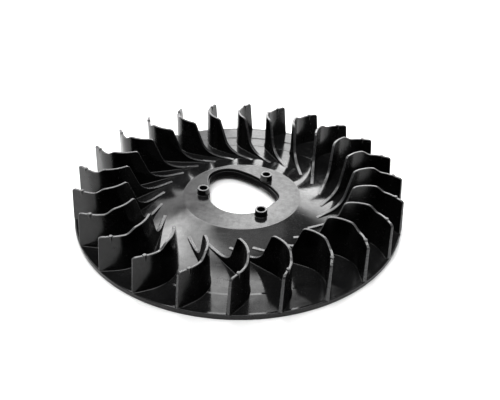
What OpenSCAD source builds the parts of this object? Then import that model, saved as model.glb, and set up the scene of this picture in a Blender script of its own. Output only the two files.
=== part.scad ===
// Centrifugal cooling fan that bolts to the flywheel of a small petrol engine.
// The fan spins about Z. The rim stands on Z = 0 and the vanes point up.
// Vane 1 points at first_vane_angle, and the numbers run clockwise as seen from above.

/* [Fan] */
// Outer diameter of the rim
fan_d = 240; // [220:1:260]
// Number of vanes
vane_count = 24; // [24:1:24]
// Direction of the outer end of vane 1, in degrees from +X
first_vane_angle = 197.7; // [180:0.1:220]

/* [Floor] */
// Height of the inner flange
flange_h = 3; // [2.6:0.1:4]
// Width of the thick rim ring
rim_w = 3; // [2:0.5:5]
// Bevel on the rim's top outer edge
rim_bevel = 0.8; // [0.4:0.1:1.2]
// Radius at which the outer flange steps down to the inner flange
step_r = 101.5; // [98:0.5:105]
// Height of that step
step_h = 0.6; // [0.2:0.1:1]
// Radius at which the dished web meets the inner flange
dish_r = 88.7; // [84:0.1:94]
// Wall thickness of the flanges and the dished web
wall_t = 2.2; // [1.8:0.1:2.4]

/* [Hub] */
// Radius of the raised flat hub
hub_r = 43.7; // [43:0.1:46]
// Height of the hub's top face
hub_z = 10; // [9:0.5:12]
// Thickness of the hub plate
hub_t = 2; // [1.6:0.1:2.4]

/* [Hub opening] */
// Radius of the round part of the opening, centred on the fan's axis
eye_r = 24.6; // [24:0.1:24.8]
// Centre of the large lobe
big_lobe = [-12.9, 20.3];
// Radius of the large lobe
big_lobe_r = 15.4; // [15:0.1:15.8]
// Centre of the small lobe
small_lobe = [17, 0.4];
// Radius of the small lobe
small_lobe_r = 10.4; // [10:0.1:10.8]
// Radius of the long curve between the two lobes
flank_r = 66; // [60:1:80]
// Thickness of the wall that hangs round the opening
eye_wall_t = 1.8; // [1.6:0.1:1.8]
// Height of that wall's lower edge
eye_wall_z = 4; // [2:0.1:5]
// Width of the ledge that the wall forms inside the hub plate's edge
eye_ledge = 0.8; // [0.7:0.1:1]

/* [Bosses] */
// Outer diameter of the three screw bosses
boss_d = 9; // [8.4:0.1:9.4]
// Diameter of the screw hole through each boss
boss_hole_d = 5.6; // [4.4:0.1:6]
// Height of the bosses above the hub
boss_h = 4.6; // [3:0.1:8]
// Radius of the circle that the bosses stand on
boss_circle_r = 28.8; // [28.8:0.1:30.5]
// Directions of the bosses, in degrees from +X
boss_angles = [182.7, 303.7, 55.6];

/* [Vanes] */
// Thickness of a vane
vane_t = 2; // [1.6:0.1:2.4]
// Height of the outer third of a vane's top edge
tip_z = 29.8; // [27:0.1:31]
// Height of the inner part of a vane's top edge
crest_z = 32.6; // [31.5:0.1:35]
// Distance that the outer edge leans in at the top
tip_lean = 2.3; // [1:0.1:4]
// Angle between the outer leg and the radius
outer_leg_angle = 37; // [34:0.5:40]
// Angle between the inner leg and the radius
inner_leg_angle = 40.5; // [38:0.5:43]
// Point where the two legs' centre lines would cross, on a vane pointing along +X
bend_corner = [97, 15.4];
// Radius of the bend between the legs, on the centre line
bend_r = 22.2; // [20:0.1:24]
// Radius at which the vane's tail runs out into the floor
tail_r = 59; // [57:0.5:62]
// Diameter of the ejector pad on a vane's top edge
pad_d = 2.8; // [2.6:0.1:3.6]

/* [Hidden] */
$fn = 96;
over = 1;

rim_r = fan_d / 2;

// Floor profile: the radius and height of each ring of the upper surface.
dish_drop = hub_z - flange_h;
dish_w = dish_r - hub_r;
dish_bend_r = (dish_w * dish_w + dish_drop * dish_drop) / (2 * dish_drop);
function dish_z(r) = flange_h + dish_bend_r - sqrt(pow(dish_bend_r, 2) - pow(dish_r - r, 2));
dish_rings = 9;
// The web is drawn as two rings, which meet at this one of its points.
dish_split = 4;
function dish_run(from, to) = [for (i = [from : to]) let (r = hub_r + dish_w * i / dish_rings)
    [r, dish_z(r)]];
dish_inner_top = dish_run(0, dish_split);
dish_outer_top = dish_run(dish_split, dish_rings);
dish_foot = [dish_r, flange_h];
step_half_w = 0.3;
step_top = [[step_r - step_half_w, flange_h], [step_r + step_half_w, flange_h + step_h]];
rim_in_r = rim_r - rim_w;
// The rim's top stands rim_rise above the inner flange.
rim_rise = 0.4;
rim_top_z = flange_h + rim_rise;
rim_top = [[rim_in_r, rim_top_z], [rim_r - rim_bevel, rim_top_z], [rim_r, rim_top_z - rim_bevel]];
floor_top = concat(dish_run(0, dish_rings), step_top, rim_top);

// Vane profile: the points of its outline in a plane through the fan's axis, tail last.
function arc(c, r, from, to, n) = [for (i = [0 : n]) let (a = from + (to - from) * i / n)
    [c[0] + r * cos(a), c[1] + r * sin(a)]];
tip_round = 2;
crest_round = 2.5;
root_round = 12;
crest_in_r = 81.4;
inner_edge_angle = 73;
tail_slope = 4;
tip_top_r = rim_r - tip_lean;
tip_arc = arc([tip_top_r - tip_round, tip_z - tip_round], tip_round, 10, 90, 4);
// The top edge falls a little from the tip to rise_out_r, then rises to the crest at rise_in_r.
tip_fall = 0.4;
rise_out_r = 104.5;
rise_in_r = 96.5;
rise_n = 6;
rise_from_z = tip_z - tip_fall;
rise_h = crest_z - rise_from_z;
rise_arc = [for (i = [0 : rise_n]) let (s = i / rise_n)
    [rise_out_r + (rise_in_r - rise_out_r) * s, rise_from_z + rise_h * (1 - cos(180 * s)) / 2]];
crest_arc = arc([crest_in_r + crest_round, crest_z - crest_round], crest_round, 90, 90 + inner_edge_angle, 4);
// The inner edge falls to the foot, where a hollow curve of radius root_round leads into the tail.
foot = [76.7, 15];
root_c = [foot[0] - root_round * sin(inner_edge_angle), foot[1] + root_round * cos(inner_edge_angle)];
root_arc = arc(root_c, root_round, inner_edge_angle - 90, tail_slope - 90, 5);
// The tail is a low rib: tail_end_h tall at its end and tail_rib_h tall where it meets the root curve.
tail_end_h = 0.2;
tail_rib_h = 1.5;
tail_rib_r = tail_r + 6;
tail_end = [tail_r, dish_z(tail_r) + tail_end_h];
tail_in = [tail_rib_r, dish_z(tail_rib_r) + tail_rib_h];
vane_floor = [for (p = floor_top) if (p[0] > tail_r) p];
vane_outline = concat([[tail_r, dish_z(tail_r)]], vane_floor, tip_arc, rise_arc, crest_arc, root_arc,
    [tail_in, tail_end]);

// Directions of travel along the two legs, going inwards from the tip.
outer_dir = [-cos(outer_leg_angle), sin(outer_leg_angle)];
inner_dir = [-cos(inner_leg_angle), -sin(inner_leg_angle)];
bend_turn = outer_leg_angle + inner_leg_angle;
bend_tangent = bend_r * tan(bend_turn / 2);
outer_end = bend_corner - outer_dir * bend_tangent;
inner_end = bend_corner + inner_dir * bend_tangent;
bend_c = outer_end - bend_r * [sin(outer_leg_angle), cos(outer_leg_angle)];
outer_leg_l = 14;
inner_leg_l = 36;
// The ejector pad stands pad_out beyond the start of the bend, and is a bump pad_proud above the edge.
pad_out = 0.5;
pad_at = outer_end - outer_dir * pad_out;
pad_h = 6;
pad_proud = 0.5;

function vane_angle(i) = first_vane_angle - 360 / vane_count * (i - 1);
function vane_name(i) = str("vane_", i < 10 ? "0" : "", i);
function boss_name(i) = str("boss_", i);

boss_count = len(boss_angles);
boss_names = [for (i = [1 : boss_count]) boss_name(i)];
vane_names = [for (i = [1 : vane_count]) vane_name(i)];

// Outline of the hub opening, as points in order round it. Every curve is moved outwards by grow.
function direction(v) = atan2(v[1], v[0]);
// Direction of the normal to a line that touches two circles, on the given side of them.
function tangent_normal(c1, r1, c2, r2, side) = direction(c2 - c1) + side * acos((r1 - r2) / norm(c2 - c1));
eye = [0, 0];
eye_step = 4;
lobe_gap = small_lobe - big_lobe;
lobe_dist = norm(lobe_gap);
flank_a = flank_r - big_lobe_r;
flank_b = flank_r - small_lobe_r;
flank_t = (flank_a * flank_a - flank_b * flank_b + lobe_dist * lobe_dist) / (2 * lobe_dist);
flank_h = sqrt(flank_a * flank_a - flank_t * flank_t);
flank_c = big_lobe + (flank_t * lobe_gap + flank_h * [lobe_gap[1], -lobe_gap[0]]) / lobe_dist;
small_from = tangent_normal(eye, eye_r, small_lobe, small_lobe_r, -1);
small_to = direction(small_lobe - flank_c);
big_from = direction(big_lobe - flank_c);
big_to = tangent_normal(eye, eye_r, big_lobe, big_lobe_r, 1);
function turn(c, r, from, to) = arc(c, r, from, to, ceil((to - from) / eye_step));
function without_ends(list) = [for (i = [1 : len(list) - 2]) list[i]];
function eye_outline(grow) = concat(
    turn(small_lobe, small_lobe_r + grow, small_from, small_to),
    without_ends(turn(flank_c, flank_r + grow, small_to, big_from)),
    turn(big_lobe, big_lobe_r + grow, big_from, big_to),
    turn(eye, eye_r + grow, big_to, small_from + 360)
);

module at_bosses() {
    for (a = boss_angles) rotate(a) translate([boss_circle_r, 0]) children();
}

module hub_plate() {
    color("dimgray")
    translate([0, 0, hub_z - hub_t])
    linear_extrude(height = hub_t)
    difference() {
        circle(r = hub_r);
        polygon(eye_outline(0));
        at_bosses() circle(d = boss_hole_d);
    }
}

// The wall stands in from the hub plate's edge by the ledge.
module eye_wall() {
    color("dimgray")
    translate([0, 0, eye_wall_z])
    linear_extrude(height = hub_z - hub_t - eye_wall_z)
    difference() {
        polygon(eye_outline(eye_wall_t - eye_ledge));
        polygon(eye_outline(-eye_ledge));
    }
}

module boss(i) {
    color("dimgray")
    rotate(boss_angles[i - 1])
    translate([boss_circle_r, 0, hub_z])
    difference() {
        cylinder(h = boss_h, d = boss_d);
        translate([0, 0, -over]) cylinder(h = boss_h + 2 * over, d = boss_hole_d);
    }
}

// A ring of the floor: its top follows the given points and its underside is wall_t lower.
module floor_ring(top) {
    under = [for (i = [len(top) - 1 : -1 : 0]) [top[i][0], top[i][1] - wall_t]];
    rotate_extrude() polygon(concat(top, under));
}

module dish_web_inner() {
    color("dimgray") floor_ring(dish_inner_top);
}

module dish_web_outer() {
    color("dimgray") floor_ring(dish_outer_top);
}

module inner_flange() {
    color("dimgray") floor_ring([dish_foot, step_top[0]]);
}

module outer_flange() {
    color("dimgray") floor_ring([step_top[0], step_top[1], rim_top[0]]);
}

module rim() {
    color("dimgray")
    rotate_extrude()
    polygon(concat([[rim_in_r, 0]], rim_top, [[rim_r, 0]]));
}

// A vane seen from above: two straight legs and the bend between them, all vane_t thick.
module vane_plan() {
    half_t = vane_t / 2;
    translate(outer_end) rotate(-outer_leg_angle) translate([0, -half_t]) square([outer_leg_l, vane_t]);
    intersection() {
        translate(bend_c) difference() {
            circle(r = bend_r + half_t);
            circle(r = bend_r - half_t);
        }
        polygon([
            bend_c,
            bend_c + 2 * (outer_end - bend_c),
            2 * bend_corner - bend_c,
            bend_c + 2 * (inner_end - bend_c)
        ]);
    }
    translate(inner_end) rotate(180 + inner_leg_angle) translate([0, -half_t]) square([inner_leg_l, vane_t]);
}

module vane(i) {
    color("dimgray")
    rotate(vane_angle(i)) {
        intersection() {
            linear_extrude(height = crest_z + over) vane_plan();
            rotate_extrude() polygon(vane_outline);
        }
        translate([pad_at[0], pad_at[1], tip_z + pad_proud - pad_h]) cylinder(h = pad_h, d = pad_d);
    }
}

hub_plate();
eye_wall();
dish_web_inner();
dish_web_outer();
inner_flange();
outer_flange();
rim();
for (i = [1 : boss_count]) boss(i);
for (i = [1 : vane_count]) vane(i);
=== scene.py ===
import bmesh
import bpy
import math
from mathutils import Matrix, Vector


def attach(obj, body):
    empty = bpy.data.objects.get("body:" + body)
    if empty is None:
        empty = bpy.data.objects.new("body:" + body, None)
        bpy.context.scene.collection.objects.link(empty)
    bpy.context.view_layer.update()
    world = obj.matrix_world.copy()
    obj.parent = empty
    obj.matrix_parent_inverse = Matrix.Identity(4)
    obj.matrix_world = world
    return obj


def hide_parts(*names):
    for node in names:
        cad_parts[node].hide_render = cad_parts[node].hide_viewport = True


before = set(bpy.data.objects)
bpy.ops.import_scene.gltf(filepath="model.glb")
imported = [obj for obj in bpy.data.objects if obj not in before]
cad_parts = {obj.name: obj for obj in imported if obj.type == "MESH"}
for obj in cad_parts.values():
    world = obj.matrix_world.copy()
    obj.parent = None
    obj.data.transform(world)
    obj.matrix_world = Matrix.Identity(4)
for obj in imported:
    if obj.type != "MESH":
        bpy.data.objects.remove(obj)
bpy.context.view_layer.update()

# Sizes are in millimetres and angles in degrees, as on a drawing, and become metres in make_piece.
# Only the camera and the lamps are placed in metres.
MM = 0.001

RIM_R = 120.0
RIM_IN_R = 117.0
RIM_H = 3.0
WALL_T = 2.2
STEP_R = 101.5
FLANGE_Z = 3.4
DISH_R = 88.7
HUB_R = 43.7
HUB_Z = 10.0
HUB_T = 2.0

EYE_R = 24.6
BIG_LOBE = Vector((-12.9, 20.3))
BIG_LOBE_R = 15.4
SMALL_LOBE = Vector((17.0, 0.4))
SMALL_LOBE_R = 10.4
FLANK_R = 66.0
EYE_WALL_Z = 4.0
EYE_WALL_T = 1.8
EYE_LEDGE = 0.8

BOSS_R = 4.5
BOSS_HOLE_R = 2.8
BOSS_H = 4.6
BOSS_CIRCLE_R = 28.8
BOSS_ANGLES = (182.7, 303.7, 55.6)

VANE_COUNT = 24
FIRST_VANE_ANGLE = 197.7
TIP_Z = 29.8
SHOULDER_Z = 29.4
CREST_Z = 32.6
# Where a vane's free edge turns, from the rim inwards.
VANE_END_R = 119.9
VANE_END_Z = 1.6
TIP_R = 117.6
TIP_ROUND = 2.0
SHOULDER_R = 104.5
CREST_OUT_R = 96.5
CREST_IN_R = 81.6
CREST_ROUND = 2.6
TAIL_R = 59.0
TAIL_H = 0.15
# The hollow curve that leads from a vane's inner edge into its tail.
ROOT_CENTRE = (65.14, 18.23)
ROOT_R = 12.0
ROOT_FROM = -15.6
ROOT_TO = -86.0
OUTER_LEG_ANGLE = 37.0
INNER_LEG_ANGLE = 40.5
BEND_CORNER = Vector((97.0, 15.4))
BEND_R = 22.2
VANE_TOP_T = 1.8
VANE_FOOT_T = 2.5
FOOT_FILLET = 0.65
EDGE_ROUND = 0.38
EDGE_HOLD = 0.12
EDGE_STEPS = 4
FOOT_STEPS = 4
PAD_R = 1.35
PAD_FOOT_R = 0.9
PAD_H = 6.0
PAD_PROUD = 0.45


# ---------------------------------------------------------------- camera

def make_camera():
    """Looks along +Y and down, with a slight roll."""
    data = bpy.data.cameras.new("camera")
    data.sensor_width = 36.0
    data.lens = 43.2
    data.shift_x = -0.0827
    data.shift_y = 0.0083
    data.clip_start = 0.01
    camera = bpy.data.objects.new("camera", data)
    bpy.context.scene.collection.objects.link(camera)
    tilt = Matrix.Rotation(math.radians(90.0 - 34.3), 4, "X")
    roll = Matrix.Rotation(math.radians(3.85), 4, "Z")
    camera.matrix_world = Matrix.Translation((0.0372, -0.3738, 0.2592)) @ tilt @ roll
    bpy.context.scene.camera = camera


make_camera()


# ---------------------------------------------------------------- mesh tools

def make_piece(name, verts, faces, material, nodes, edge_material=None, edge_faces=()):
    """Makes a closed mesh from points in millimetres, which stands for the CAD nodes."""
    mesh = bpy.data.meshes.new(name)
    mesh.from_pydata([(x * MM, y * MM, z * MM) for x, y, z in verts], [], faces)
    bm = bmesh.new()
    bm.from_mesh(mesh)
    bmesh.ops.recalc_face_normals(bm, faces=bm.faces)
    bm.to_mesh(mesh)
    bm.free()
    mesh.shade_smooth()
    mesh.set_sharp_from_angle(angle=math.radians(38.0))
    mesh.materials.append(material)
    if edge_material:
        mesh.materials.append(edge_material)
        for i in edge_faces:
            mesh.polygons[i].material_index = 1
    piece = bpy.data.objects.new(name, mesh)
    bpy.context.scene.collection.objects.link(piece)
    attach(piece, "root")
    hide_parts(*nodes)


def faces_between(verts, faces, low, high):
    """The numbers of the faces that lie wholly between two heights."""
    numbers = []
    for i, face in enumerate(faces):
        heights = [verts[v][2] for v in face]
        if low < min(heights) and max(heights) < high:
            numbers.append(i)
    return numbers


def arc(centre, radius, start, end, steps):
    """Points on an arc, in degrees."""
    points = []
    for i in range(steps + 1):
        a = math.radians(start + (end - start) * i / steps)
        points.append(Vector((centre[0] + radius * math.cos(a), centre[1] + radius * math.sin(a))))
    return points


def rounded(corners, closed=True, steps=4, hold=0.15):
    """A path through (x, y, radius) corners, each one rounded and held by a point on either side."""
    points = []
    count = len(corners)
    for i, (x, y, radius) in enumerate(corners):
        here = Vector((x, y))
        if radius <= 0 or (not closed and i in (0, count - 1)):
            points.append(here)
            continue
        before = Vector(corners[i - 1][:2]) - here
        after = Vector(corners[(i + 1) % count][:2]) - here
        to_before, to_after = before.normalized(), after.normalized()
        half = to_before.angle(to_after) / 2
        if half > math.radians(89.5):
            points.append(here)
            continue
        run = min(radius / math.tan(half), 0.49 * before.length, 0.49 * after.length)
        radius = run * math.tan(half)
        centre = here + (to_before + to_after).normalized() * (radius / math.sin(half))
        start = here + to_before * run - centre
        end = here + to_after * run - centre
        turn = start.angle_signed(end)
        if run + hold < 0.49 * before.length:
            points.append(here + to_before * (run + hold))
        for k in range(steps + 1):
            points.append(centre + (Matrix.Rotation(-turn * k / steps, 2) @ start))
        if run + hold < 0.49 * after.length:
            points.append(here + to_after * (run + hold))
    return points


def lathe(profile, around=288, at=(0.0, 0.0)):
    """Turns a closed (radius, height) profile round an upright axis."""
    verts, faces = [], []
    n = len(profile)
    for i in range(around):
        a = 2 * math.pi * i / around
        for r, z in profile:
            verts.append((at[0] + r * math.cos(a), at[1] + r * math.sin(a), z))
    for i in range(around):
        j = (i + 1) % around
        for k in range(n):
            m = (k + 1) % n
            faces.append((i * n + k, j * n + k, j * n + m, i * n + m))
    return verts, faces


# ---------------------------------------------------------------- materials

def noise(tree, vector, scale, detail, roughness=0.5):
    node = tree.nodes.new("ShaderNodeTexNoise")
    node.inputs["Scale"].default_value = scale
    node.inputs["Detail"].default_value = detail
    node.inputs["Roughness"].default_value = roughness
    tree.links.new(vector, node.inputs["Vector"])
    return node.outputs["Fac"]


def ramp(tree, source, low, high, low_value, high_value):
    node = tree.nodes.new("ShaderNodeMapRange")
    node.inputs["From Min"].default_value = low
    node.inputs["From Max"].default_value = high
    node.inputs["To Min"].default_value = low_value
    node.inputs["To Max"].default_value = high_value
    tree.links.new(source, node.inputs["Value"])
    return node.outputs["Result"]


def combine(tree, operation, a, b):
    node = tree.nodes.new("ShaderNodeMath")
    node.operation = operation
    tree.links.new(a, node.inputs[0])
    tree.links.new(b, node.inputs[1])
    return node.outputs["Value"]


def mapping(tree, vector, socket, value):
    node = tree.nodes.new("ShaderNodeMapping")
    node.inputs[socket].default_value = value
    tree.links.new(vector, node.inputs["Vector"])
    return node


def dusty_colour(tree, vector, clouds, dark, light):
    """A cloudy black with a few specks of dust on it."""
    shade = tree.nodes.new("ShaderNodeMix")
    shade.data_type = "RGBA"
    shade.inputs[6].default_value = (dark, dark, dark * 1.04, 1.0)
    shade.inputs[7].default_value = (light, light, light * 1.02, 1.0)
    grain = combine(tree, "MULTIPLY", clouds, noise(tree, vector, 900.0, 3.0, 0.65))
    tree.links.new(ramp(tree, grain, 0.12, 0.42, 0.0, 1.0), shade.inputs[0])

    cells = tree.nodes.new("ShaderNodeTexVoronoi")
    cells.inputs["Scale"].default_value = 240.0
    tree.links.new(vector, cells.inputs["Vector"])
    pick = tree.nodes.new("ShaderNodeSeparateColor")
    tree.links.new(cells.outputs["Color"], pick.inputs["Color"])
    speck = ramp(tree, cells.outputs["Distance"], 0.03, 0.06, 1.0, 0.0)
    chosen = ramp(tree, pick.outputs["Red"], 0.97, 0.98, 0.0, 1.0)
    dusty = tree.nodes.new("ShaderNodeMix")
    dusty.data_type = "RGBA"
    dusty.inputs[7].default_value = (0.08, 0.08, 0.08, 1.0)
    tree.links.new(combine(tree, "MULTIPLY", speck, chosen), dusty.inputs[0])
    tree.links.new(shade.outputs[2], dusty.inputs[6])
    return dusty.outputs[2]


def scuffed_roughness(tree, vector, clouds, rough, mottle):
    """Cloudy roughness with fine scuffs that run mostly one way, so their noise is stretched."""
    stretch = mapping(tree, vector, "Scale", (60.0, 900.0, 300.0))
    stretch.inputs["Rotation"].default_value = (0.0, 0.0, math.radians(28.0))
    streaks = noise(tree, stretch.outputs["Vector"], 1.0, 2.0)
    scuffs = ramp(tree, streaks, 0.62, 0.8, 0.0, 0.12 + mottle)
    patches = ramp(tree, clouds, 0.35, 0.7, rough - 0.05, rough + 0.07 + mottle * 0.5)
    return combine(tree, "ADD", patches, scuffs)


def moulded_relief(tree, vector, bump):
    """A fine moulded grain on long, shallow waves."""
    grain = tree.nodes.new("ShaderNodeBump")
    grain.inputs["Strength"].default_value = bump
    grain.inputs["Distance"].default_value = 0.0001
    tree.links.new(noise(tree, vector, 1400.0, 2.0), grain.inputs["Height"])
    waves = tree.nodes.new("ShaderNodeBump")
    waves.inputs["Strength"].default_value = 0.25
    waves.inputs["Distance"].default_value = 0.0004
    tree.links.new(noise(tree, vector, 70.0, 1.0), waves.inputs["Height"])
    tree.links.new(grain.outputs["Normal"], waves.inputs["Normal"])
    return waves.outputs["Normal"]


def plastic(name, dark, light, rough, bump, mottle, seed, shine=0.5, uneven=0.05):
    """Black moulded plastic: cloudy colour, uneven gloss, a fine moulded grain and faint scuffs."""
    material = bpy.data.materials.new(name)
    material.use_nodes = True
    tree = material.node_tree
    tree.nodes.clear()
    out = tree.nodes.new("ShaderNodeOutputMaterial")
    shader = tree.nodes.new("ShaderNodeBsdfPrincipled")
    shader.inputs["IOR"].default_value = 1.5
    place = tree.nodes.new("ShaderNodeTexCoord").outputs["Object"]
    vector = mapping(tree, place, "Location", (seed, seed * 0.7, seed * 0.3)).outputs["Vector"]
    clouds = noise(tree, vector, 38.0, 4.0, 0.6)
    # The shine comes and goes in patches a few millimetres wide.
    bloom = ramp(tree, noise(tree, vector, 260.0, 6.0, 0.75), 0.34, 0.66, shine - uneven, shine + uneven)
    roughness = scuffed_roughness(tree, place, clouds, rough, mottle)
    tree.links.new(dusty_colour(tree, vector, clouds, dark, light), shader.inputs["Base Color"])
    tree.links.new(bloom, shader.inputs["Specular IOR Level"])
    tree.links.new(roughness, shader.inputs["Roughness"])
    tree.links.new(moulded_relief(tree, vector, bump), shader.inputs["Normal"])
    tree.links.new(shader.outputs["BSDF"], out.inputs["Surface"])
    return material


FLOOR_PLASTIC = plastic(
    "floor_plastic", dark=0.005, light=0.024, rough=0.12, bump=0.07, mottle=0.03, seed=0.0, uneven=0.07,
)
HUB_PLASTIC = plastic(
    "hub_plastic", dark=0.006, light=0.026, rough=0.13, bump=0.08, mottle=0.04, seed=3.0, shine=0.44,
    uneven=0.11,
)
VANE_PLASTIC = plastic(
    "vane_plastic", dark=0.0012, light=0.004, rough=0.22, bump=0.05, mottle=0.01, seed=7.0, shine=0.58,
)
# Painted highlight: a lighter plastic on the vanes' free edges, the pad tops and the bosses' top edges, so
# that they show as bright lines.
PAINTED_HIGHLIGHT_PLASTIC = plastic(
    "vane_edge_painted_highlight_plastic", dark=0.02, light=0.09, rough=0.26, bump=0.12, mottle=0.05, seed=9.0, shine=0.8,
    uneven=0.1,
)
BOSS_PLASTIC = plastic(
    "boss_plastic", dark=0.002, light=0.006, rough=0.20, bump=0.06, mottle=0.03, seed=11.0,
)
# Painted shade: a nearly black, dull plastic on the wall under the hub opening and on the sides of the
# opening and the screw holes, which lie in deep shade.
PAINTED_SHADE_PLASTIC = plastic(
    "eye_wall_painted_shade_plastic", dark=0.001, light=0.002, rough=0.35, bump=0.05, mottle=0.03, seed=5.0, shine=0.05,
    uneven=0.02,
)


# ---------------------------------------------------------------- floor of the fan

DISH_DROP = HUB_Z - RIM_H
DISH_W = DISH_R - HUB_R
DISH_BEND_R = (DISH_W ** 2 + DISH_DROP ** 2) / (2 * DISH_DROP)
SEAM_R = HUB_R - 1.2
DISH_FOOT_R = DISH_R - 0.6

# The inner flange stands a hair above the dish's foot, the outer one stands on a low, soft step,
# and a low bead runs round the top of the rim.
INNER_Z = RIM_H + 0.14
STEP_FOOT = (STEP_R - 1.0, INNER_Z)
STEP_TOP = (STEP_R + 0.9, FLANGE_Z + 0.1)
BEAD_FOOT = (RIM_IN_R + 0.9, FLANGE_Z)
BEAD_TOP = (RIM_R - 0.9, FLANGE_Z + 0.2)
FLANGE_RUN = [(DISH_R, INNER_Z), STEP_FOOT, STEP_TOP, (RIM_IN_R, FLANGE_Z), BEAD_FOOT, BEAD_TOP]


def dish_z(r):
    """Height of the hollow dish, which is one arc that runs level into the flange."""
    return RIM_H + DISH_BEND_R - math.sqrt(DISH_BEND_R ** 2 - (DISH_R - r) ** 2)


def floor_z(r):
    """Height of the floor's upper surface at a radius."""
    if r < HUB_R:
        return HUB_Z
    if r < DISH_R:
        return dish_z(r)
    for (r1, z1), (r2, z2) in zip(FLANGE_RUN, FLANGE_RUN[1:]):
        if r < r2:
            return z1 + (z2 - z1) * (r - r1) / (r2 - r1)
    return FLANGE_RUN[-1][1]


def make_floor():
    slope = math.degrees(math.asin(DISH_W / DISH_BEND_R))
    dish_top = [(SEAM_R, HUB_Z), (SEAM_R + 0.5, HUB_Z)]
    # The hub's edge is a soft bend from flat to the top of the slope.
    bend = 1.6
    run = bend * math.tan(math.radians(slope / 2))
    for p in arc((HUB_R - run, HUB_Z - bend), bend, 90.0, 90.0 - slope, 4):
        dish_top.append((p.x, p.y))
    rings = 24
    bend_end = HUB_R + 1.0
    for i in range(1, rings + 1):
        r = bend_end + (DISH_FOOT_R - bend_end) * i / rings
        dish_top.append((r, dish_z(r)))
    dish_under = [(r, z - WALL_T) for r, z in reversed(dish_top) if r > HUB_R]
    dish_under.append((SEAM_R, HUB_Z - WALL_T))
    dish = [Vector(p) for p in dish_top + dish_under]
    make_piece("dish_web_skin", *lathe(dish), FLOOR_PLASTIC, ["dish_web_inner", "dish_web_outer"])

    under_z = RIM_H - WALL_T
    inner = [
        (DISH_FOOT_R, RIM_H, 0), (DISH_FOOT_R + 0.2, RIM_H, 0), (DISH_FOOT_R + 0.5, INNER_Z, 0.4),
        (*STEP_FOOT, 0), (STEP_FOOT[0], under_z, 0), (DISH_FOOT_R, under_z, 0),
    ]
    make_piece("inner_flange_skin", *lathe(rounded(inner)), FLOOR_PLASTIC, ["inner_flange"])

    outer = [
        (*STEP_FOOT, 0), (*STEP_TOP, 1.0), (RIM_IN_R, FLANGE_Z, 0),
        (RIM_IN_R, under_z, 0), (STEP_TOP[0], STEP_TOP[1] - WALL_T, 0), (STEP_FOOT[0], under_z, 0),
    ]
    make_piece("outer_flange_skin", *lathe(rounded(outer)), FLOOR_PLASTIC, ["outer_flange"])

    rim = [
        (RIM_IN_R, FLANGE_Z, 0), (*BEAD_FOOT, 0.4), (*BEAD_TOP, 0.5),
        (RIM_R, FLANGE_Z + 0.1, 0.8), (RIM_R, 0.0, 0.35), (RIM_IN_R, 0.0, 0.2),
    ]
    make_piece("rim_skin", *lathe(rounded(rim, steps=6)), FLOOR_PLASTIC, ["rim"])


# ---------------------------------------------------------------- hub

def direction(v):
    """A vector's angle."""
    return math.degrees(math.atan2(v.y, v.x))


def tangent_normal(c1, r1, c2, r2, side):
    """The angle, from either centre, at which a common tangent touches both circles."""
    gap = c2 - c1
    return direction(gap) + side * math.degrees(math.acos((r1 - r2) / gap.length))


def eye_arcs():
    """The opening as (centre, radius, start, end) arcs, in order round it."""
    gap = SMALL_LOBE - BIG_LOBE
    a, b = FLANK_R - BIG_LOBE_R, FLANK_R - SMALL_LOBE_R
    along = (a * a - b * b + gap.length ** 2) / (2 * gap.length)
    across = math.sqrt(a * a - along * along)
    flank = BIG_LOBE + (along * gap + across * Vector((gap.y, -gap.x))) / gap.length
    centre = Vector((0.0, 0.0))
    small_from = tangent_normal(centre, EYE_R, SMALL_LOBE, SMALL_LOBE_R, -1)
    small_to = direction(SMALL_LOBE - flank)
    big_from = direction(BIG_LOBE - flank)
    big_to = tangent_normal(centre, EYE_R, BIG_LOBE, BIG_LOBE_R, 1)
    return [
        (SMALL_LOBE, SMALL_LOBE_R, small_from, small_to),
        (flank, FLANK_R, small_to, big_from),
        (BIG_LOBE, BIG_LOBE_R, big_from, big_to),
        (centre, EYE_R, big_to, small_from + 360.0),
    ]


def eye_loop(grow):
    """The opening's outline, moved outwards by grow, with the same number of points for any grow."""
    points = []
    flank = 1
    for i, (centre, radius, start, end) in enumerate(eye_arcs()):
        turn = arc(centre, radius + grow, start, end, max(8, round((end - start) / 2)))
        # The flank's end points already belong to the two lobes.
        points += turn[1:-1] if i == flank else turn
    return points


def circle_loop(centre, radius, steps):
    return arc(centre, radius, 0.0, 360.0 - 360.0 / steps, steps - 1)


def loft(loops):
    """Joins closed loops of equal length, given as lists of (x, y, z), one after the other."""
    verts = [v for loop in loops for v in loop]
    n = len(loops[0])
    faces = []
    for i in range(len(loops) - 1):
        for k in range(n):
            m = (k + 1) % n
            faces.append((i * n + k, i * n + m, (i + 1) * n + m, (i + 1) * n + k))
    return verts, faces


def boss_centre(angle):
    a = math.radians(angle)
    return Vector((BOSS_CIRCLE_R * math.cos(a), BOSS_CIRCLE_R * math.sin(a)))


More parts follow.
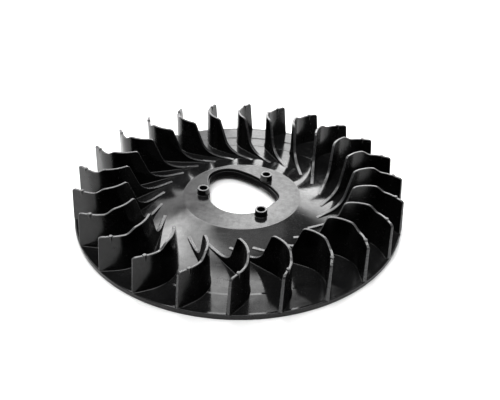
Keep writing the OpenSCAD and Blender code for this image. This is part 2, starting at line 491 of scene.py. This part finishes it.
def make_hub_plate():
    """A flat plate with rounded edges: each edge is a loft, and the flats are filled between them."""
    edge = 0.5
    under = HUB_Z - HUB_T
    verts, faces, top_edges, under_edges = [], [], [], []

    def add_edge(loop_at, rounding):
        """loop_at(inset) gives the edge's outline, moved into the plate by inset."""
        stations = [(rounding + 0.3, HUB_Z)]
        for k in range(5):
            a = math.radians(90.0 * k / 4)
            stations.append((rounding * (1 - math.sin(a)), HUB_Z - rounding * (1 - math.cos(a))))
        stations += [(0.0, HUB_Z - rounding - 0.2), (0.0, under + 0.2), (0.0, under), (0.4, under)]
        loops = [[(p.x, p.y, z) for p in loop_at(inset)] for inset, z in stations]
        more_verts, more_faces = loft(loops)
        base = len(verts)
        verts.extend(more_verts)
        faces.extend([tuple(base + v for v in f) for f in more_faces])
        n = len(loops[0])
        last = base + (len(loops) - 1) * n
        top_edges.extend((base + k, base + (k + 1) % n) for k in range(n))
        under_edges.extend((last + k, last + (k + 1) % n) for k in range(n))

    add_edge(lambda inset: circle_loop((0.0, 0.0), SEAM_R - inset, 288), 0.001)
    add_edge(eye_loop, edge)
    for angle in BOSS_ANGLES:
        add_edge(lambda inset, c=boss_centre(angle): circle_loop(c, BOSS_HOLE_R + inset, 48), 0.05)

    bm = bmesh.new()
    corners = [bm.verts.new(v) for v in verts]
    for edges, normal in ((top_edges, (0, 0, 1)), (under_edges, (0, 0, -1))):
        rim_edges = [bm.edges.new((corners[a], corners[b])) for a, b in edges]
        bmesh.ops.triangle_fill(bm, use_beauty=True, use_dissolve=False, edges=rim_edges, normal=normal)
    bm.verts.index_update()
    flats = [tuple(v.index for v in f.verts) for f in bm.faces]
    verts = [tuple(v.co) for v in bm.verts]
    bm.free()
    # The sides of the openings get painted shade: the same nearly black plastic as the wall under them.
    sides = faces_between(verts, faces, 0.0, HUB_Z - 0.9 * edge)
    make_piece("hub_plate_skin", verts, faces + flats, HUB_PLASTIC, ["hub_plate"], PAINTED_SHADE_PLASTIC, sides)


def make_eye_wall():
    top = HUB_Z - HUB_T
    section = rounded([
        (-EYE_LEDGE, top, 0.3), (EYE_WALL_T - EYE_LEDGE, top, 0),
        (EYE_WALL_T - EYE_LEDGE, EYE_WALL_Z, 0.3), (-EYE_LEDGE, EYE_WALL_Z, 0.3),
    ])
    loops = [[(p.x, p.y, z) for p in eye_loop(grow)] for grow, z in section]
    verts, faces = loft(loops + loops[:1])
    n = len(loops[0])
    last = len(loops) * n
    verts = verts[:last]
    faces = [tuple(v % last for v in f) for f in faces]
    # The wall is painted shade in the nearly black plastic; only its ledge keeps the hub's plastic.
    ledge = faces_between(verts, faces, top - 0.35, HUB_Z)
    make_piece("eye_wall_skin", verts, faces, PAINTED_SHADE_PLASTIC, ["eye_wall"], HUB_PLASTIC, ledge)


def make_boss(number, angle):
    """A tube with a small root fillet, a rounded top edge and a countersunk mouth."""
    top = HUB_Z + BOSS_H
    centre = boss_centre(angle)
    fillet, draft, sunk = 0.45, 0.06, 0.1
    root = arc((BOSS_R + fillet, HUB_Z + fillet), fillet, 180.0, 270.0, 4)
    shell = rounded([
        (BOSS_R, HUB_Z + 0.6, 0), (BOSS_R - draft, top, 0.35), (BOSS_HOLE_R + draft, top, 0.25),
        (BOSS_HOLE_R, HUB_Z, 0),
    ], closed=False)
    profile = [Vector((BOSS_HOLE_R, HUB_Z - sunk)), Vector((BOSS_R + fillet, HUB_Z - sunk))]
    profile += list(reversed(root)) + shell
    verts, faces = lathe(profile, 72, centre)
    # The top edge and the mouth get the painted highlight plastic.
    rim = faces_between(verts, faces, top - 0.4, CREST_Z)
    make_piece(f"boss_{number}_skin", verts, faces, BOSS_PLASTIC, [f"boss_{number}"], PAINTED_HIGHLIGHT_PLASTIC, rim)


# ---------------------------------------------------------------- vanes

OUTER = math.radians(OUTER_LEG_ANGLE)
INNER = math.radians(INNER_LEG_ANGLE)
OUTER_DIR = Vector((-math.cos(OUTER), math.sin(OUTER)))
INNER_DIR = Vector((-math.cos(INNER), -math.sin(INNER)))
BEND_RUN = BEND_R * math.tan((OUTER + INNER) / 2)
BEND_START = BEND_CORNER - OUTER_DIR * BEND_RUN
BEND_END = BEND_CORNER + INNER_DIR * BEND_RUN
BEND_C = BEND_START - BEND_R * Vector((math.sin(OUTER), math.cos(OUTER)))
BEND_L = BEND_R * (OUTER + INNER)


def vane_plan(s):
    """Point and left-hand normal on a vane's centre line, s inwards from the start of the bend."""
    if s < 0:
        heading = math.pi - OUTER
        point = BEND_START + OUTER_DIR * s
    elif s < BEND_L:
        heading = math.pi - OUTER + s / BEND_R
        point = BEND_C + BEND_R * Vector((math.sin(heading), -math.cos(heading)))
    else:
        heading = math.pi + INNER
        point = BEND_END + INNER_DIR * (s - BEND_L)
    return point, Vector((-math.sin(heading), math.cos(heading)))


def s_at_radius(r):
    """The place on a vane's centre line that lies at a radius, found by halving."""
    low, high = -30.0, BEND_L + 45.0
    for _ in range(50):
        mid = (low + high) / 2
        if vane_plan(mid)[0].length > r:
            low = mid
        else:
            high = mid
    return low


def subdivided(path, longest):
    """The same path with points added, so that no gap is longer than that."""
    fine = [path[0]]
    for p in path[1:]:
        gap = p - fine[-1]
        parts = max(1, math.ceil(gap.length / longest))
        start = fine[-1].copy()
        fine += [start + gap * (k / parts) for k in range(1, parts + 1)]
    return fine


def vane_top():
    """The vane's free edge as (radius, height) points, from the rim up, over the top and down to the tail."""
    rise = []
    rise_steps = 12
    for i in range(1, rise_steps):
        t = i / rise_steps
        z = SHOULDER_Z + (CREST_Z - SHOULDER_Z) * (1 - math.cos(math.pi * t)) / 2
        rise.append((SHOULDER_R + (CREST_OUT_R - SHOULDER_R) * t, z, 0))
    root = [(p.x, p.y, 0) for p in arc(ROOT_CENTRE, ROOT_R, ROOT_FROM, ROOT_TO, 12)]
    corners = [(VANE_END_R, VANE_END_Z, 0), (TIP_R, TIP_Z, TIP_ROUND), (SHOULDER_R, SHOULDER_Z, 0)] + rise
    corners += [(CREST_OUT_R, CREST_Z, 0), (CREST_IN_R, CREST_Z, CREST_ROUND)] + root
    corners.append((TAIL_R, floor_z(TAIL_R) + TAIL_H, 0))
    return subdivided(rounded(corners, closed=False, steps=6, hold=0.4), longest=1.3)


def vane_half_thickness(z):
    """Half the drafted wall's thickness at a height."""
    share = min(1.0, max(0.0, (z - RIM_H) / (TIP_Z - RIM_H)))
    return (VANE_FOOT_T + (VANE_TOP_T - VANE_FOOT_T) * share) / 2


def vane_rows(here, inwards):
    """Points down a vane's side from one place on its free edge, as (place, half thickness, settle).

    Settle says how far a point follows the floor's height on its own side of the vane.
    """
    ground = floor_z(vane_plan(here.x)[0].length)
    tall = max(0.05, here.y - ground)
    edge = min(EDGE_ROUND, 0.35 * tall)
    half_top = vane_half_thickness(here.y)
    rows = [(here, half_top - edge - EDGE_HOLD, 0.0)]
    for k in range(EDGE_STEPS + 1):
        a = math.radians(90.0 * k / EDGE_STEPS)
        rows.append((here + inwards * edge * (1 - math.cos(a)), half_top - edge * (1 - math.sin(a)), 0.0))

    hold = here + inwards * (edge + min(0.2, 0.1 * tall))
    ground = floor_z(vane_plan(hold.x)[0].length)
    start = hold.y - ground
    foot = max(0.02, min(FOOT_FILLET, 0.6 * tall, 0.8 * start))
    settle = min(1.0, tall / 3.0) ** 2
    for k in range(4):
        z = ground + start + (foot - start) * k / 3
        rows.append((Vector((hold.x, z)), vane_half_thickness(z), settle * k / 3))
    for k in range(1, FOOT_STEPS + 1):
        a = math.radians(90.0 * k / FOOT_STEPS)
        z = ground + foot * (1 - math.sin(a))
        rows.append((Vector((hold.x, z)), vane_half_thickness(z) + foot * (1 - math.cos(a)), settle))
    rows.append((Vector((hold.x, ground - 0.5)), rows[-1][1], settle))
    return rows


def vane_columns():
    """One list of rows for each point of the free edge."""
    path = [Vector((s_at_radius(r), z)) for r, z in vane_top()]
    columns = []
    for i, here in enumerate(path):
        along = (path[min(i + 1, len(path) - 1)] - path[max(i - 1, 0)]).normalized()
        columns.append(vane_rows(here, Vector((along.y, -along.x))))
    return columns


def vane_mesh():
    """One vane pointing along +X, with the numbers of the faces on its free edge."""
    columns = vane_columns()
    verts = []
    for side in (1.0, -1.0):
        for rows in columns:
            for at, half, settle in rows:
                point, left = vane_plan(at.x)
                place = point + left * half * side
                if place.length > RIM_R:
                    place *= RIM_R / place.length
                rise = settle * (floor_z(place.length) - floor_z(point.length))
                verts.append((place.x, place.y, at.y + rise))
    count, depth = len(columns), len(columns[0])

    def index(side, column, row):
        return side * count * depth + column * depth + row

    faces, edge_faces = [], []
    for side in (0, 1):
        for c in range(count - 1):
            for k in range(depth - 1):
                if k <= EDGE_STEPS:
                    edge_faces.append(len(faces))
                here, beyond = index(side, c, k), index(side, c + 1, k)
                faces.append((here, beyond, beyond + 1, here + 1))
    for c in range(count - 1):
        edge_faces.append(len(faces))
        for k in (0, depth - 1):
            faces.append((index(0, c, k), index(0, c + 1, k), index(1, c + 1, k), index(1, c, k)))
    for c in (0, count - 1):
        for k in range(depth - 1):
            faces.append((index(0, c, k), index(0, c, k + 1), index(1, c, k + 1), index(1, c, k)))
    return verts, faces, edge_faces


def pad_mesh():
    """The ejector pad: a round column that runs down both faces of the vane and ends in a taper."""
    at = vane_plan(-0.5)[0]
    top = TIP_Z + PAD_PROUD
    foot = top - PAD_H
    core_r = 0.02
    profile = [(core_r, top, 0), (PAD_R, top, 0.3), (PAD_FOOT_R, foot, 0.3), (core_r, foot, 0)]
    return lathe(rounded(profile, closed=False), 32, at)


def make_vanes():
    vane_verts, vane_faces, edge_faces = vane_mesh()
    pad_verts, pad_faces = pad_mesh()
    # The free edges and the pad tops get the painted highlight plastic.
    pad_top = faces_between(pad_verts, pad_faces, TIP_Z - 1.0, CREST_Z)
    edge_faces += [len(vane_faces) + i for i in pad_top]
    base = len(vane_verts)
    verts = vane_verts + pad_verts
    faces = vane_faces + [tuple(base + v for v in f) for f in pad_faces]
    for number in range(1, VANE_COUNT + 1):
        angle = math.radians(FIRST_VANE_ANGLE - 360.0 / VANE_COUNT * (number - 1))
        c, s = math.cos(angle), math.sin(angle)
        turned = [(x * c - y * s, x * s + y * c, z) for x, y, z in verts]
        node = f"vane_{number:02d}"
        make_piece(f"{node}_skin", turned, faces, VANE_PLASTIC, [node], PAINTED_HIGHLIGHT_PLASTIC, edge_faces)


make_floor()
make_hub_plate()
make_eye_wall()
for boss_number, boss_angle in enumerate(BOSS_ANGLES, 1):
    make_boss(boss_number, boss_angle)
make_vanes()


# ---------------------------------------------------------------- studio

def make_stage():
    """A plain, very pale floor."""
    material = bpy.data.materials.new("pale_floor")
    material.use_nodes = True
    tree = material.node_tree
    shader = tree.nodes["Principled BSDF"]
    shader.inputs["Roughness"].default_value = 0.6
    shader.inputs["Specular IOR Level"].default_value = 0.2
    clouds = tree.nodes.new("ShaderNodeTexNoise")
    clouds.inputs["Scale"].default_value = 6.0
    blend = tree.nodes.new("ShaderNodeMix")
    blend.data_type = "RGBA"
    blend.inputs[6].default_value = (0.90, 0.90, 0.90, 1.0)
    blend.inputs[7].default_value = (0.93, 0.93, 0.93, 1.0)
    tree.links.new(clouds.outputs["Fac"], blend.inputs[0])
    tree.links.new(blend.outputs[2], shader.inputs["Base Color"])
    half = 4.0
    corners = [(-half, -half, 0), (half, -half, 0), (half, half, 0), (-half, half, 0)]
    mesh = bpy.data.meshes.new("floor")
    mesh.from_pydata(corners, [], [(0, 1, 2, 3)])
    mesh.materials.append(material)
    floor = bpy.data.objects.new("floor", mesh)
    bpy.context.scene.collection.objects.link(floor)


def panel(name, azimuth, elevation, distance, width, height, radiance, roll=0.0):
    """A lamp panel that faces the fan, at an azimuth from +Y towards +X. Width and height are angles."""
    a, e = math.radians(azimuth), math.radians(elevation)
    place = distance * Vector((math.sin(a) * math.cos(e), math.cos(a) * math.cos(e), math.sin(e)))
    data = bpy.data.lights.new(name, "AREA")
    data.shape = "RECTANGLE"
    data.size = 2 * distance * math.tan(math.radians(width / 2))
    data.size_y = 2 * distance * math.tan(math.radians(height / 2))
    # Cycles divides a lamp's energy by four times its area.
    data.energy = 4.0 * data.size * data.size_y * radiance
    lamp = bpy.data.objects.new(name, data)
    bpy.context.scene.collection.objects.link(lamp)
    turn = (-place).to_track_quat("-Z", "Y").to_matrix().to_4x4()
    lamp.matrix_world = Matrix.Translation(place) @ turn @ Matrix.Rotation(math.radians(roll), 4, "Z")
    lamp.visible_camera = False


def soft_panel(name, azimuth, elevation, distance, width, height, radiance, roll, soft):
    """Three panels, one behind another and each a little larger, so that the edge fades."""
    gap = 0.03
    for layer in (-1, 0, 1):
        across, up = width + soft * layer, height + soft * layer
        away = distance + gap * layer
        panel(f"{name}_{layer + 2}", azimuth, elevation, away, across, up, radiance / 3, roll)


def make_lights():
    world = bpy.data.worlds.new("studio")
    world.use_nodes = True
    background = world.node_tree.nodes["Background"]
    background.inputs["Color"].default_value = (1.0, 1.0, 1.0, 1.0)
    background.inputs["Strength"].default_value = 0.22
    bpy.context.scene.world = world
    # Azimuth, elevation, distance, width, height, radiance, roll and how soft the edge is.
    soft_panel("back_panel", 12.0, 28.5, 1.6, 35.0, 22.0, 3.7, 5.0, 3.0)
    soft_panel("right_panel", 20.0, 26.0, 1.45, 22.0, 17.0, 1.8, 0.0, 4.0)
    soft_panel("left_end_panel", -14.0, 34.0, 1.6, 16.0, 12.0, 0.4, 0.0, 4.0)
    soft_panel("upper_panel", -17.0, 44.5, 1.6, 32.0, 11.0, 4.4, 12.0, 4.0)
    soft_panel("left_panel", -38.0, 52.0, 1.45, 24.0, 20.0, 4.6, 0.0, 5.0)
    soft_panel("low_left_panel", -38.0, 25.0, 1.75, 58.0, 26.0, 1.7, 0.0, 8.0)
    soft_panel("low_back_panel", 6.0, 13.0, 2.2, 34.0, 11.0, 1.4, 0.0, 4.0)
    panel("backdrop", 0.0, 9.0, 2.4, 110.0, 17.0, 2.1)
    panel("top_panel", 0.0, 71.0, 1.6, 44.0, 24.0, 1.2)
    soft_panel("over_panel", 180.0, 77.0, 1.5, 60.0, 32.0, 3.6, 0.0, 5.0)


make_stage()
make_lights()
# A gamma under 1 gives the strong contrast of a product photograph.
bpy.context.scene.view_settings.view_transform = "Standard"
bpy.context.scene.view_settings.gamma = 0.83
